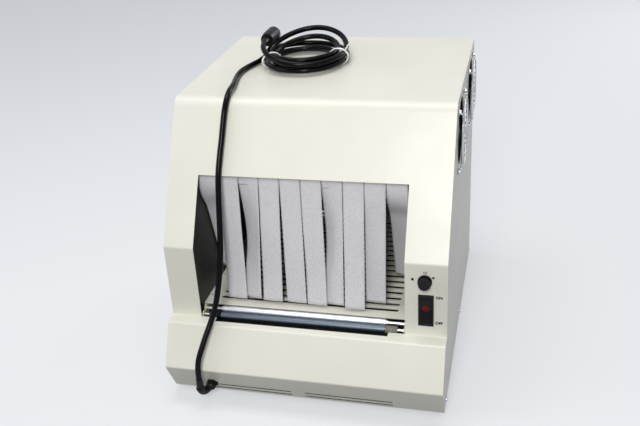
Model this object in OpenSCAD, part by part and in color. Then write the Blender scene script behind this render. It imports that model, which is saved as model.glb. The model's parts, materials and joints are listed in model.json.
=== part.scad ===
// Table-top heat-shrink tunnel: a folded sheet-metal cabinet round an insulated hot chamber.
// Packs enter over two free rollers, pass a curtain of cloth strips and slide along a slotted bed.
// Millimetres, +Z up, -Y is the operator's side. The origin is below the middle, on the table.

/* [Cabinet] */
// Width across the outer faces of the side panels
cabinet_w = 480; // [470:1:500]
// Depth from the tip of the nose to the rear edge
cabinet_d = 575; // [570:1:600]
// Height of the sheet-metal cabinet above its feet
cabinet_h = 481; // [478:1:500]
// Height of the rubber feet
foot_h = 9; // [6:1:12]
// Thickness of the cabinet's sheet
sheet_t = 1.5; // [1.2:0.1:1.8]
// Outside radius of the bend between the top and the sloping front
brow_r = 25; // [10:1:30]

/* [Tunnel] */
// Width of the mouth in the front cover
mouth_w = 358; // [354:1:362]
// Height of the mouth's upper edge above the cabinet's floor
mouth_top = 369; // [365:1:372]
// Width inside the hot chamber
chamber_w = 372; // [368:1:376]
// Distance between neighbouring slots in the bed
slot_pitch = 18.2; // [17:0.1:24]
// Width of one slot in the bed
slot_w = 7.5; // [3:0.5:8]

/* [Curtain] */
// Number of strips across the mouth
strip_count = 10;
// Length of a strip from its rod to its free end
strip_l = 229; // [220:1:230]
// Thickness of the coated cloth
strip_t = 1.2; // [0.8:0.1:1.6]
// Angle by which the strips lean towards the operator at rest
strip_lean = 7.5; // [2:0.5:8]

/* [Rollers] */
// Diameter of the polished entry roller
upper_roller_d = 12.3; // [11:0.1:12.6]
// Diameter of the satin lower roller
lower_roller_d = 12.5; // [11:0.1:12.6]
// Length of each roller tube
roller_l = 288; // [260:1:292]

/* [Fans] */
// Side of a cooling fan's square frame
fan_size = 120; // [118:1:122]
// Distance between a fan's screws
fan_screw_pitch = 105; // [104:0.5:106]
// How far a finger guard stands out of the side panel
guard_out = 8; // [6:0.5:10]

/* [Controls] */
// Diameter of the temperature knob
knob_d = 23; // [20:1:26]
// Angle between the two halves of the switch's rocker and its seat
rocker_tilt = 8; // [5:1:9]

/* [Cord] */
// Diameter of the mains cord
cord_d = 10; // [9:0.5:10]
// Radius of the coil at the middle of its turns
coil_r = 66; // [62:1:70]
// Diameter of the bundle of turns
bundle_d = 28.5; // [27:0.5:31]

/* [Hidden] */
$fn = 48;

fit = 0.05;                                     // radial clearance of a running fit
head_h = 1.8;                                   // height of a cover screw's head
cab_x = -(guard_out - head_h) / 2;              // middle of the cabinet, so that the whole is centred
y_front = -cabinet_d / 2;
y_rear = cabinet_d / 2;
z_floor = foot_h;
z_top = foot_h + cabinet_h;
x_left = cab_x - cabinet_w / 2;
x_right = cab_x + cabinet_w / 2;

// Side profile of the folded cover, from the rear of the top round to the foot of the plinth
brow = [y_front + 199.5, z_top];
cheek = [y_front + 66.5, z_floor + 261.5];
sill = [y_front + 62, z_floor + 128];
ledge = [y_front + 38.5, z_floor + 128];
nose = [y_front - 0.5, z_floor + 59];
plinth = [y_front + 27.5, z_floor];
profile = [[y_rear, z_top], brow, cheek, sill, ledge, nose, plinth];
bend_radii = [0, brow_r, 8, 2, 4, 4, 0];

slope_rate = (brow[0] - cheek[0]) / (brow[1] - cheek[1]);   // how far the brow runs back per mm up
panel_lean = atan((cheek[0] - sill[0]) / (cheek[1] - sill[1]));

// Tunnel
tunnel_x = cab_x - 8;
mouth_z = z_floor + mouth_top;
liner_t = 1.2;
chamber_top = z_floor + 383;
chamber_floor = z_floor + 69;
chamber_rear = y_rear - 12;
bed_z = z_floor + 134;
bed_t = 1.5;
bed_front = y_front + 96;
bed_rear = y_rear - 32;
bed_skirt = 20;
slot_l = 320;
slot_first = bed_front + 24;
slot_count = floor((bed_rear - 14 - slot_first) / slot_pitch) + 1;

// Curtain rods
rod_d = 5;
sleeve_d = 8;
rod_z = z_floor + 367;
front_rod_y = y_front + 140.5;
rear_rod_y = y_rear - 26;
curtain_x = tunnel_x - 3.9;                     // the strips are pushed a little to the left
strip_pitch = 36.1;
rear_pitch = 35.6;
strip_gap = 0.8;

// Rollers
upper_axis = [y_front + 82.8, z_floor + 133.2];
lower_axis = [y_front + 70, z_floor + 128.8];
exit_axis = [y_rear - 17, z_floor + 131];
upper_shaft_d = 6;
lower_shaft_d = 5;
bracket_gap = 176;                              // from the tunnel's middle to a bracket's inner face
bracket_t = 2;
cradle_z = z_floor + 112;                       // the cradle's floor, which the brackets stand on
block_l = 20;
block_d = 13.5;

// Fans and screws
fan_t = 25;
fan_bore = 114;
fan_z = z_floor + 407;
fan_ys = [y_front + 271.4, y_front + 480.8];
guard_wire = 2;
screw_d = 3.5;
side_screw_z = z_floor + 6;
side_screw_ys = [y_front + 55, y_front + 322, y_front + 561];
rear_inset = 2;                                 // how far the rear cover sits inside the cabinet's edge

// Controls on the leaning panel: x, and height along the panel above the sill
knob_at = [cab_x + 203.6, 104];
switch_at = [cab_x + 205.4, 50];
switch_size = [25, 57.4];
spindle_d = 6;
pivot_depth = 6;
pivot_d = 3;
red_lens_d = 10;
red_lens_up = 3.5;                              // above the rocker's pivot

// Blower over the chamber
blower_y = 75;
wheel_d = 150;
wheel_h = 26;
blower_shaft_d = 6;
baffle_z = chamber_top - 42;

// Mains cord: gland on the plinth, boot turning up, and the route that is laid by hand
gland_x = cab_x - 164;
gland_z = z_floor + 23;
boot_r = 14;
boot_d = 13;
boot_turn = 115;
boot_azimuth = 22;                              // how far the boot points to the left of straight out
route = [
    // up the nose, bending back towards the mouth
    [-178, -299, 60], [-178, -299, 68], [-177.5, -298, 79], [-176.5, -295, 91], [-174.5, -290, 102],
    [-171, -281, 115], [-166.5, -269, 131],
    // free in front of the mouth
    [-160, -254, 151], [-154, -238, 177], [-150, -222, 212], [-148, -206, 252], [-149, -191, 294],
    [-151, -176, 336], [-152, -162, 378],
    // up the slope, and a bend of 48 mm radius over the brow
    [-151, -146, 410], [-150, -134, 430], [-149.5, -122.5, 449], [-149, -112.5, 465.5],
    [-148.5, -106.5, 475], [-148, -100.5, 482.5], [-148, -92.5, 489.5], [-148, -84, 494.5],
    [-148.5, -74.5, 497.5], [-149.5, -64, 498.5],
    // across the top to the coil
    [-151, -50, 498.5], [-154, -33, 497.5], [-158, -15, 496.5], [-162, 5, 495.5], [-164.5, 25, 495.5],
    [-164.5, 45, 495.5], [-160.5, 66, 495.5], [-154, 84, 496], [-146.5, 101, 497.5], [-138, 124, 501.5]];
coil_at = [-62, 115];
plug_y = 120;
plug_d = 27;
plug_shift = 8;                                 // how far the plug lies outside the bundle's middle
plug_l = 46;

// ---------- helpers ----------
function unit(v) = v / norm(v);
function left_normal(a, b) = let (u = unit(b - a)) [-u[1], u[0]];
function turn(a, b, c) = sign(cross(b - a, c - b));
// Corner b of a path, moved d to the left of the path
function moved_corner(a, b, c, d) =
    let (m = left_normal(a, b), n = left_normal(b, c)) b + (m + n) * d / (1 + m * n);
// Arc of radius r that rounds corner b
function rounded(a, b, c, r) =
    let (u = unit(a - b), v = unit(c - b), half = acos(u * v) / 2,
         centre = b + unit(u + v) * r / sin(half), p = b + u * r / tan(half) - centre,
         from = atan2(p[1], p[0]), sweep = turn(a, b, c) * (180 - 2 * half),
         steps = max(3, round(r / 3)))
    [for (i = [0 : steps]) centre + r * [cos(from + sweep * i / steps), sin(from + sweep * i / steps)]];
// The cover's profile moved d inwards, with its bends
function profile_path(d) =
    let (last = len(profile) - 1,
         corner = [for (i = [0 : last])
             i == 0 ? profile[0] + left_normal(profile[0], profile[1]) * d
             : i == last ? profile[last] + left_normal(profile[last - 1], profile[last]) * d
             : moved_corner(profile[i - 1], profile[i], profile[i + 1], d)])
    [corner[0],
     for (i = [1 : last - 1])
         each rounded(corner[i - 1], corner[i], corner[i + 1],
             bend_radii[i] - turn(profile[i - 1], profile[i], profile[i + 1]) * d),
     corner[last]];
function reversed(list) = [for (i = [len(list) - 1 : -1 : 0]) list[i]];
function slope_y(z) = brow[0] - (brow[1] - z) * slope_rate;

// A (y, z) outline extruded along X between two planes
module along_x(x0, x1) translate([x0, 0, 0]) rotate([90, 0, 90]) linear_extrude(x1 - x0) children();
module box(low, high) translate(low) cube(high - low);
// A cylinder along X centred on a (y, z) axis
module rod(x0, x1, axis, d) translate([x0, axis[0], axis[1]]) rotate([0, 90, 0]) cylinder(d = d, h = x1 - x0);
// Local Z stands out of the leaning control panel at a point given as (x, height above the sill)
module on_panel(at) translate([at[0], sill[0] + at[1] * sin(panel_lean), sill[1] + at[1] * cos(panel_lean)])
    rotate([90 - panel_lean, 0, 0]) children();
// Local Z stands out of the right panel at a fan's middle
module at_fan(i) translate([x_right, fan_ys[i], fan_z]) rotate([0, 90, 0]) children();
module fan_corners() for (x = [-1, 1], y = [-1, 1]) translate([x, y] * fan_screw_pitch / 2) children();
module cover_screw() {
    cylinder(d = 7, h = head_h);
    translate([0, 0, -8]) cylinder(d = screw_d, h = 8);
}
module side_screw_places() for (y = side_screw_ys) translate([0, y, side_screw_z]) children();
// Clearance holes for the side screws, through both side walls
module side_screw_holes() for (x = [x_left, x_right]) translate([x, 0, 0]) side_screw_places()
    rotate([0, 90, 0]) cylinder(d = screw_d + 0.1, h = 20, center = true);
module rear_screw_places()
    for (x = [x_left + 12, x_right - 12], z = [z_floor + 30, z_floor + 240, z_top - 14])
        translate([x, y_rear - rear_inset, z]) rotate([-90, 0, 0]) children();

// ---------- cabinet ----------
module front_cover() color("ivory") difference() {
    along_x(x_left, x_right) polygon(concat(profile_path(0), reversed(profile_path(sheet_t))));
    // mouth, from the slope down to the ledge, and the step in the ledge for the rollers
    box([tunnel_x - mouth_w / 2, y_front, sill[1]], [tunnel_x + mouth_w / 2, brow[0], mouth_z]);
    box([tunnel_x - 151, sill[0] - 10, sill[1] - 10], [tunnel_x + 151, sill[0] + 10, sill[1] + 1]);
    // vents in the plinth
    for (z = [z_floor + 7, z_floor + 17], span = [[-159, -22], [3, 154]])
        box([cab_x + span[0], y_front - 10, z - 1.3], [cab_x + span[1], y_front + 40, z + 1.3]);
    on_panel(knob_at) translate([0, 0, -10]) cylinder(d = spindle_d + 4, h = 20);
    on_panel(switch_at) translate([-11.2, -25.2, -10]) cube([22.4, 50.4, 20]);
    at_gland() translate([0, 0, -10]) cylinder(d = 12, h = 20);
}
module panel_outline() polygon(concat(profile_path(sheet_t), [[y_rear, z_floor]]));
module left_panel() color("ivory") difference() {
    along_x(x_left, x_left + sheet_t) panel_outline();
    side_screw_holes();
}
module right_panel() color("ivory") difference() {
    along_x(x_right - sheet_t, x_right) panel_outline();
    side_screw_holes();
    for (i = [0, 1]) at_fan(i) translate([0, 0, -10]) {
        cylinder(d = fan_bore + 2, h = 20);
        fan_corners() cylinder(d = 4.5, h = 20);
    }
}
module rear_cover() color("ivory") difference() {
    box([x_left + sheet_t, y_rear - rear_inset - sheet_t, z_floor + sheet_t],
        [x_right - sheet_t, y_rear - rear_inset, z_top - sheet_t]);
    box([tunnel_x - mouth_w / 2, y_rear - 20, bed_z - 8], [tunnel_x + mouth_w / 2, y_rear + 5, mouth_z + 8]);
    for (x = [-1, 1], i = [0 : 5])
        box([cab_x + x * 120 - 40, y_rear - 20, z_floor + 30 + 9 * i],
            [cab_x + x * 120 + 40, y_rear + 5, z_floor + 33 + 9 * i]);
    rear_screw_places() translate([0, 0, -10]) cylinder(d = screw_d + 0.1, h = 20);
}
module base_pan() color("ivory") difference() {
    union() {
        box([x_left + sheet_t, plinth[0] + 3, z_floor], [x_right - sheet_t, y_rear, z_floor + sheet_t]);
        // upturned edges that the side panels screw to
        for (x = [x_left + sheet_t, x_right - 2 * sheet_t])
            box([x, plinth[0] + 3, z_floor], [x + sheet_t, y_rear - 4, z_floor + 14]);
        // rear uprights that carry the rear cover
        for (x = [x_left + 2 * sheet_t, x_right - 2 * sheet_t - 16])
            box([x, y_rear - rear_inset - 2 * sheet_t, z_floor],
                [x + 16, y_rear - rear_inset - sheet_t, z_top - sheet_t]);
    }
    side_screw_holes();
    rear_screw_places() translate([0, 0, -10]) cylinder(d = screw_d + 0.1, h = 20);
    for (i = [0 : 7]) box([cab_x - 120, -90 + 26 * i, z_floor - 1], [cab_x + 120, -84 + 26 * i, z_floor + 3]);
}
module feet() color("dimgray") for (x = [cab_x - 185, cab_x + 185], y = [y_front + 75, y_rear - 50])
    translate([x, y, 0]) difference() {
        cylinder(d1 = 28, d2 = 34, h = foot_h);
        translate([0, 0, -1]) cylinder(d = 12, h = 4);
    }
module side_screws() color("silver") {
    translate([x_right, 0, 0]) side_screw_places() rotate([0, 90, 0]) cover_screw();
    translate([x_left, 0, 0]) side_screw_places() rotate([0, -90, 0]) cover_screw();
}
module rear_screws() color("silver") rear_screw_places() cover_screw();

// ---------- hot chamber ----------
// Side wall of the chamber: it follows the slope behind the front cover
module wall_outline(grow = 0) {
    back = 3;
    polygon([[slope_y(chamber_top) + back, chamber_top], [cheek[0] + back + 2, cheek[1]],
        [sill[0] + back + 2, bed_z - 25], [bed_front - 6, bed_z - 25], [bed_front - 6, chamber_floor],
        [chamber_rear, chamber_floor], [chamber_rear, chamber_top]]);
}
module liner_supports() color("gray") for (y = [-120, 190])
    difference() {
        box([tunnel_x - 170, y - 15, z_floor + sheet_t], [tunnel_x + 170, y + 15, chamber_floor - liner_t]);
        box([tunnel_x - 171, y - 13, z_floor], [tunnel_x + 171, y + 13, chamber_floor - liner_t - 2]);
    }
module tunnel_liner() color([0.30, 0.33, 0.31]) difference() {
    union() {
        for (x = [tunnel_x - chamber_w / 2 - liner_t, tunnel_x + chamber_w / 2])
            along_x(x, x + liner_t) wall_outline();
        box([tunnel_x - chamber_w / 2, slope_y(chamber_top) + 3, chamber_top - liner_t],
            [tunnel_x + chamber_w / 2, chamber_rear, chamber_top]);
        box([tunnel_x - chamber_w / 2, bed_front - 6, chamber_floor - liner_t],
            [tunnel_x + chamber_w / 2, chamber_rear, chamber_floor]);
    }
    for (axis = [[front_rod_y, rod_z], [rear_rod_y, rod_z]])
        rod(tunnel_x - 200, tunnel_x + 200, axis, rod_d + 2 * fit);
    translate([tunnel_x, blower_y, chamber_top - 10]) cylinder(d = 14, h = 20);
    for (u = [0 : 2]) heater_legs(u) rod(tunnel_x + 150, tunnel_x + 200, [0, 0], 10);
}
module insulation() color("khaki") {
    side_z = [chamber_floor + 6, chamber_top - 6];
    box([tunnel_x - chamber_w / 2 - liner_t - 25, -135, side_z[0]],
        [tunnel_x - chamber_w / 2 - liner_t, chamber_rear - 5, side_z[1]]);
    box([tunnel_x + chamber_w / 2 + liner_t, -135, bed_z - 10],
        [tunnel_x + chamber_w / 2 + liner_t + 20, chamber_rear - 5, side_z[1]]);
    difference() {
        box([tunnel_x - chamber_w / 2, -115, chamber_top],
            [tunnel_x + chamber_w / 2, chamber_rear - 5, chamber_top + 20]);
        box([tunnel_x - 60, blower_y - 60, chamber_top - 1],
            [tunnel_x + 60, blower_y + 60, chamber_top + 30]);
    }
}
module bed_rails() color("silver") for (side = [-1, 1]) {
    wall = tunnel_x + side * chamber_w / 2;
    edge = wall - side * 14;
    top = bed_z - bed_skirt;
    box([min(wall, edge), bed_front + 4, top - 1.5], [max(wall, edge), bed_rear - 4, top]);
    box([min(wall, wall - side * 1.5), bed_front + 4, top - 12],
        [max(wall, wall - side * 1.5), bed_rear - 4, top - 1.5]);
}
module slotted_bed() color("ivory") difference() {
    half = chamber_w / 2 - 0.5;
    union() {
        box([tunnel_x - half, bed_front, bed_z - bed_t], [tunnel_x + half, bed_rear, bed_z]);
        for (x = [tunnel_x - half, tunnel_x + half - bed_t])
            box([x, bed_front, bed_z - bed_skirt], [x + bed_t, bed_rear, bed_z]);
        box([tunnel_x - half, bed_rear - bed_t, bed_z - 10], [tunnel_x + half, bed_rear, bed_z]);
        // a pressed bead stiffens each slat
        for (i = [0 : slot_count - 2])
            intersection() {
                rod(tunnel_x - slot_l / 2 + 2, tunnel_x + slot_l / 2 - 2,
                    [slot_first + (i + 0.5) * slot_pitch, bed_z - 4.2], 10);
                box([tunnel_x - half, bed_front, bed_z - 0.5], [tunnel_x + half, bed_rear, bed_z + 3]);
            }
    }
    // fixing holes along both margins
    for (x = [-181, 181], i = [0 : 5])
        translate([tunnel_x + x, slot_first + 4 + 71 * i, bed_z - 5]) cylinder(d = 4.5, h = 10);
    for (i = [0 : slot_count - 1]) translate([tunnel_x, slot_first + i * slot_pitch, bed_z - 5]) {
        translate([-(slot_l - slot_w) / 2, -slot_w / 2, 0]) cube([slot_l - slot_w, slot_w, 10]);
        for (side = [-1, 1]) translate([side * (slot_l - slot_w) / 2, 0, 0])
            cylinder(d = slot_w, h = 10, $fn = 24);
    }
}
// Three hairpin elements lie across the chamber below the bed
heater_d = 8.5;
heater_bend = 20;
heater_z = chamber_floor + 24;
function heater_y(u) = -110 + 120 * u;
module heater_legs(u) for (side = [-1, 1])
    translate([0, heater_y(u) + side * heater_bend, heater_z]) children();
module heaters() color([0.42, 0.36, 0.31]) for (u = [0 : 2]) {
    heater_legs(u) rod(tunnel_x - 140, tunnel_x + chamber_w / 2 + 8, [0, 0], heater_d);
    translate([tunnel_x - 140, heater_y(u), heater_z]) rotate([0, 0, 90])
        rotate_extrude(angle = 180) translate([heater_bend, 0]) circle(d = heater_d);
}
module heater_brackets() color("silver") for (x = [-110, 90]) difference() {
    box([tunnel_x + x, -145, chamber_floor], [tunnel_x + x + 1.5, 165, heater_z + 10]);
    for (u = [0 : 2]) heater_legs(u) rod(tunnel_x + x - 5, tunnel_x + x + 5, [0, 0], heater_d + 2 * fit);
    for (i = [0 : 3]) box([tunnel_x + x - 1, -142 + 76 * i, chamber_floor + 4],
        [tunnel_x + x + 3, -136 + 76 * i, heater_z + 4]);
}
module air_baffle() color("silver") {
    difference() {
        box([tunnel_x - 120, blower_y - 108, baffle_z], [tunnel_x + 120, blower_y + 108, baffle_z + 1.2]);
        translate([tunnel_x, blower_y, baffle_z - 1]) cylinder(d = 96, h = 4);
        for (side = [-1, 1], i = [0 : 5])
            box([tunnel_x + side * 96 - 15, blower_y - 95 + 34 * i, baffle_z - 1],
                [tunnel_x + side * 96 + 15, blower_y - 81 + 34 * i, baffle_z + 3]);
    }
    for (x = [-114, 114], y = [-102, 102]) translate([tunnel_x + x, blower_y + y, baffle_z + 1.2])
        cylinder(d = 8, h = chamber_top - liner_t - baffle_z - 1.2);
}
module blower_motor() color("silver") translate([tunnel_x, blower_y, chamber_top]) {
    difference() {
        union() {
            translate([-45, -45, 0]) cube([90, 90, 2]);
            for (x = [-36, 36], y = [-30, 30]) translate([x, y, 2]) cylinder(d = 7, h = 22);
            translate([-42, -36, 24]) cube([84, 72, 24]);
            translate([0, 0, 18]) cylinder(d = 34, h = 40);
            translate([0, 0, 48]) cylinder(d = 52, h = 18);
        }
        translate([0, 0, -1]) cylinder(d = 14, h = 12);
        translate([0, 0, 10]) cylinder(d = blower_shaft_d + 2 * fit, h = 40);
    }
}
module blower_wheel() color("silver") translate([tunnel_x, blower_y, 0]) {
    top = chamber_top - liner_t - 5;
    translate([0, 0, top - wheel_h]) {
        difference() {
            union() {
                translate([0, 0, wheel_h - 1.5]) cylinder(d = wheel_d, h = 1.5);
                translate([0, 0, wheel_h - 14]) cylinder(d = 24, h = 14);
                difference() {
                    cylinder(d = wheel_d, h = 1.5);
                    translate([0, 0, -1]) cylinder(d = wheel_d - 44, h = 4);
                }
                for (i = [0 : 15]) rotate([0, 0, i * 22.5]) translate([wheel_d / 2 - 21, 0, 0])
                    rotate([0, 0, 28]) cube([21, 1.4, wheel_h - 0.5]);
            }
            difference() {
                cylinder(d = wheel_d + 20, h = wheel_h + 1);
                translate([0, 0, -1]) cylinder(d = wheel_d, h = wheel_h + 3);
            }
        }
    }
    translate([0, 0, top - 1]) cylinder(d = blower_shaft_d, h = chamber_top + 48 - top);
}

// ---------- curtains ----------
module curtain_rod(y)
    rod(tunnel_x - chamber_w / 2 - liner_t, tunnel_x + chamber_w / 2 + liner_t, [y, rod_z], rod_d);
module front_curtain_rod() color("silver") curtain_rod(front_rod_y);
module rear_curtain_rod() color("silver") curtain_rod(rear_rod_y);
// One strip of coated cloth sewn into a sleeve round the rod
module strip(i, middle, pitch, y, lean, length) {
    x0 = middle + (i - strip_count / 2) * pitch + strip_gap / 2;
    x1 = x0 + pitch - strip_gap;
    translate([0, y, rod_z]) rotate([-lean, 0, 0]) difference() {
        union() {
            rod(x0, x1, [0, 0], sleeve_d);
            box([x0, -strip_t / 2, -length], [x1, strip_t / 2, 0]);
        }
        rod(x0 - 1, x1 + 1, [0, 0], rod_d + 2 * fit);
    }
}
module front_strip(i) color("gainsboro") strip(i, curtain_x, strip_pitch, front_rod_y, strip_lean, strip_l);
module front_strip_1() front_strip(0);
module front_strip_2() front_strip(1);
module front_strip_3() front_strip(2);
module front_strip_4() front_strip(3);
module front_strip_5() front_strip(4);
module front_strip_6() front_strip(5);
module front_strip_7() front_strip(6);
module front_strip_8() front_strip(7);
module front_strip_9() front_strip(8);
module front_strip_10() front_strip(9);
module rear_strips() color("gainsboro")
    for (i = [0 : strip_count - 1]) strip(i, tunnel_x, rear_pitch, rear_rod_y, 0, strip_l - 1);

// ---------- rollers ----------
shaft_reach = bracket_gap + bracket_t + 1;      // from the tunnel's middle to a shaft's end
module shaft(axis, d) rod(tunnel_x - shaft_reach, tunnel_x + shaft_reach, axis, d);
module both_sides(gap, t) for (x = [tunnel_x - gap - t, tunnel_x + gap]) translate([x, 0, 0]) children();
module roller_tube(axis, d, bore) difference() {
    rod(tunnel_x - roller_l / 2, tunnel_x + roller_l / 2, axis, d);
    rod(tunnel_x - roller_l / 2 - 1, tunnel_x + roller_l / 2 + 1, axis, bore + 2 * fit);
}
module roller_brackets() color("wheat") difference() {
    both_sides(bracket_gap, bracket_t) {
        along_x(0, bracket_t) polygon([[lower_axis[0] - 6, cradle_z], [lower_axis[0] - 6, lower_axis[1]],
            [upper_axis[0] - 7, upper_axis[1]], [upper_axis[0] + 7, upper_axis[1]],
            [upper_axis[0] + 7, cradle_z]]);
        rod(0, bracket_t, upper_axis, 14);
        rod(0, bracket_t, lower_axis, 12);
    }
    rod(tunnel_x - 200, tunnel_x + 200, upper_axis, upper_shaft_d);
    rod(tunnel_x - 200, tunnel_x + 200, lower_axis, lower_shaft_d);
}
// Folded channel under the rollers, hung from the underside of the ledge by its front flange
module roller_cradle() color([0.08, 0.08, 0.09]) {
    front = lower_axis[0] - 18;
    back = bed_front - 0.5;
    top = sill[1] - sheet_t;
    low = cradle_z - sheet_t;
    along_x(tunnel_x - bracket_gap - bracket_t, tunnel_x + bracket_gap + bracket_t)
        polygon([[front - 9, top], [front - 9, top - sheet_t], [front, top - sheet_t], [front, low],
            [back, low], [back, top - 2.5], [back - sheet_t, top - 2.5], [back - sheet_t, cradle_z],
            [front + sheet_t, cradle_z], [front + sheet_t, top]]);
}
module upper_shaft() color("silver") {
    shaft(upper_axis, upper_shaft_d);
    // collars that keep the tube from wandering
    difference() {
        for (x = [tunnel_x - roller_l / 2 - 3.5, tunnel_x + roller_l / 2 + 1])
            rod(x, x + 2.5, upper_axis, 9.5);
        rod(tunnel_x - 170, tunnel_x + 170, upper_axis, upper_shaft_d - 1);
    }
}
module upper_roller() color("lightgray") roller_tube(upper_axis, upper_roller_d, upper_shaft_d);
module lower_shaft() color("silver") shaft(lower_axis, lower_shaft_d);
module lower_roller() color("slategray") roller_tube(lower_axis, lower_roller_d, lower_shaft_d);
module roller_end_blocks() color("tan") for (side = [-1, 1]) {
    middle = tunnel_x + side * (roller_l / 2 + 1 + block_l / 2);
    difference() {
        rod(middle - block_l / 2, middle + block_l / 2, lower_axis, block_d);
        rod(middle - block_l, middle + block_l, lower_axis, lower_shaft_d);
        // slotted screw that clamps the block on its shaft
        translate([middle, lower_axis[0], lower_axis[1]]) rotate([60, 0, 0]) {
            translate([0, 0, block_d / 2 - 1]) cylinder(d = 7, h = 3);
        }
    }
    translate([middle, lower_axis[0], lower_axis[1]]) rotate([60, 0, 0]) difference() {
        translate([0, 0, block_d / 2 - 3]) cylinder(d = 6, h = 3);
        translate([-4, -0.6, block_d / 2 - 1]) cube([8, 1.2, 2]);
    }
}
module exit_brackets() color("wheat") difference() {
    both_sides(bracket_gap, bracket_t) {
        along_x(0, bracket_t)
            polygon([[exit_axis[0] - 7, chamber_floor], [exit_axis[0] - 7, exit_axis[1]],
                [exit_axis[0] + 7, exit_axis[1]], [exit_axis[0] + 7, chamber_floor]]);
        rod(0, bracket_t, exit_axis, 14);
    }
    rod(tunnel_x - 200, tunnel_x + 200, exit_axis, upper_shaft_d);
}
module exit_shaft() color("silver") shaft(exit_axis, upper_shaft_d);
module exit_roller() color("lightgray") roller_tube(exit_axis, upper_roller_d, upper_shaft_d);

// ---------- fans ----------
module fan_frame() color([0.10, 0.10, 0.11]) translate([0, 0, -sheet_t - fan_t]) {
    difference() {
        translate([-fan_size / 2, -fan_size / 2, 0]) cube([fan_size, fan_size, fan_t]);
        translate([0, 0, -1]) cylinder(d = fan_bore, h = fan_t + 2);
        fan_corners() translate([0, 0, -1]) cylinder(d = 4.4, h = fan_t + 2);
        // the open waist between the two flanges
        for (a = [0 : 90 : 270]) rotate([0, 0, a])
            translate([fan_size / 2 - 4, -40, 5]) cube([10, 80, fan_t - 10]);
    }
    // motor cup on four struts
    difference() {
        union() {
            cylinder(d = 44, h = 4);
            for (a = [45 : 90 : 315]) rotate([0, 0, a])
                translate([20, -2.5, 0]) cube([fan_bore / 2 - 19, 5, 4]);
        }
        translate([0, 0, -1]) cylinder(d = 4 + 2 * fit, h = 6);
    }
}
module front_fan_frame() at_fan(0) fan_frame();
module rear_fan_frame() at_fan(1) fan_frame();
module fan_rotor() color([0.13, 0.13, 0.14]) translate([0, 0, -sheet_t - fan_t]) {
    translate([0, 0, 5]) cylinder(d = 40, h = fan_t - 8);
    translate([0, 0, 0.5]) cylinder(d = 4, h = 6);
    intersection() {
        for (i = [0 : 6]) rotate([0, 0, i * 360 / 7]) translate([17, 0, 13.5]) rotate([36, 0, 0])
            translate([0, -17, -1]) cube([fan_bore / 2, 34, 2]);
        translate([0, 0, 5.5]) cylinder(d = fan_bore - 4, h = fan_t - 9);
    }
}
module front_fan_rotor() at_fan(0) fan_rotor();
module rear_fan_rotor() at_fan(1) fan_rotor();
// Concentric wire rings on four radial wires that end in screw eyes
module finger_guard() color("silver") {
    ring_z = guard_out - guard_wire / 2;
    spoke_z = ring_z - guard_wire + 0.2;
    reach = fan_screw_pitch / 2 * sqrt(2);
    for (r = [10 : 9.5 : 57.5]) translate([0, 0, ring_z])
        rotate_extrude() translate([r, 0]) circle(d = guard_wire, $fn = 16);
    for (a = [45 : 90 : 315]) rotate([0, 0, a]) {
        translate([9, 0, spoke_z]) rotate([0, 90, 0]) cylinder(d = guard_wire, h = reach - 15, $fn = 16);
        translate([reach - 6, 0, guard_wire / 2]) cylinder(d = guard_wire, h = spoke_z, $fn = 16);
        translate([reach, 0, guard_wire / 2])
            rotate_extrude() translate([4.2, 0]) circle(d = guard_wire, $fn = 16);
        translate([reach - 6.5, 0, guard_wire / 2])
            rotate([0, 90, 0]) cylinder(d = guard_wire, h = 2, $fn = 16);
    }
}
module front_finger_guard() at_fan(0) finger_guard();
module rear_finger_guard() at_fan(1) finger_guard();
module fan_screws() color("gainsboro") for (i = [0, 1]) at_fan(i) fan_corners() {
    translate([0, 0, guard_wire]) cylinder(d = 8.5, h = 2.4);
    translate([0, 0, -20]) cylinder(d = 4, h = 20 + guard_wire);
}

// ---------- controls ----------
module knob() color([0.07, 0.07, 0.08]) on_panel(knob_at) difference() {
    union() {
        translate([0, 0, 0.4]) cylinder(d = knob_d, h = 4);
        translate([0, 0, 4.4]) cylinder(d1 = knob_d - 4, d2 = knob_d - 6, h = 11);
        // grip ribs
        for (a = [0 : 30 : 330]) rotate([0, 0, a]) translate([knob_d / 2 - 4, -1, 4]) cube([2.2, 2, 10.5]);
    }
    translate([0, 0, -1]) cylinder(d = spindle_d, h = 12);
    translate([-0.7, 2, 14.6]) cube([1.4, knob_d / 2, 2]);
}
module knob_spindle() color("silver") on_panel(knob_at)
    translate([0, 0, -14]) cylinder(d = spindle_d, h = 25);
module thermostat() color("gainsboro") on_panel(knob_at) difference() {
    union() {
        translate([-17, -17, -sheet_t - 4]) cube([34, 34, 4]);
        translate([-14, -16, -36]) cube([28, 32, 36 - sheet_t - 4]);
    }
    translate([0, 0, -15]) cylinder(d = spindle_d + 2 * fit, h = 20);
}
module switch_housing() color([0.06, 0.06, 0.07]) on_panel(switch_at) difference() {
    union() {
        translate([-switch_size[0] / 2, -switch_size[1] / 2, 0]) cube([switch_size[0], switch_size[1], 2.5]);
        translate([-11, -25, -34]) cube([22, 50, 34]);
        for (x = [-6, 0, 6]) translate([x - 0.4, -18, -42]) cube([0.8, 6, 9]);
    }
    translate([-9.5, -22.5, -13]) cube([19, 45, 20]);
    translate([-12, 0, -pivot_depth]) rotate([0, 90, 0]) cylinder(d = pivot_d + 2 * fit, h = 24, $fn = 32);
}
module rocker_frame() on_panel(switch_at) translate([0, 0, -pivot_depth]) rotate([-rocker_tilt, 0, 0])
    translate([0, 0, pivot_depth]) children();
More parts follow.
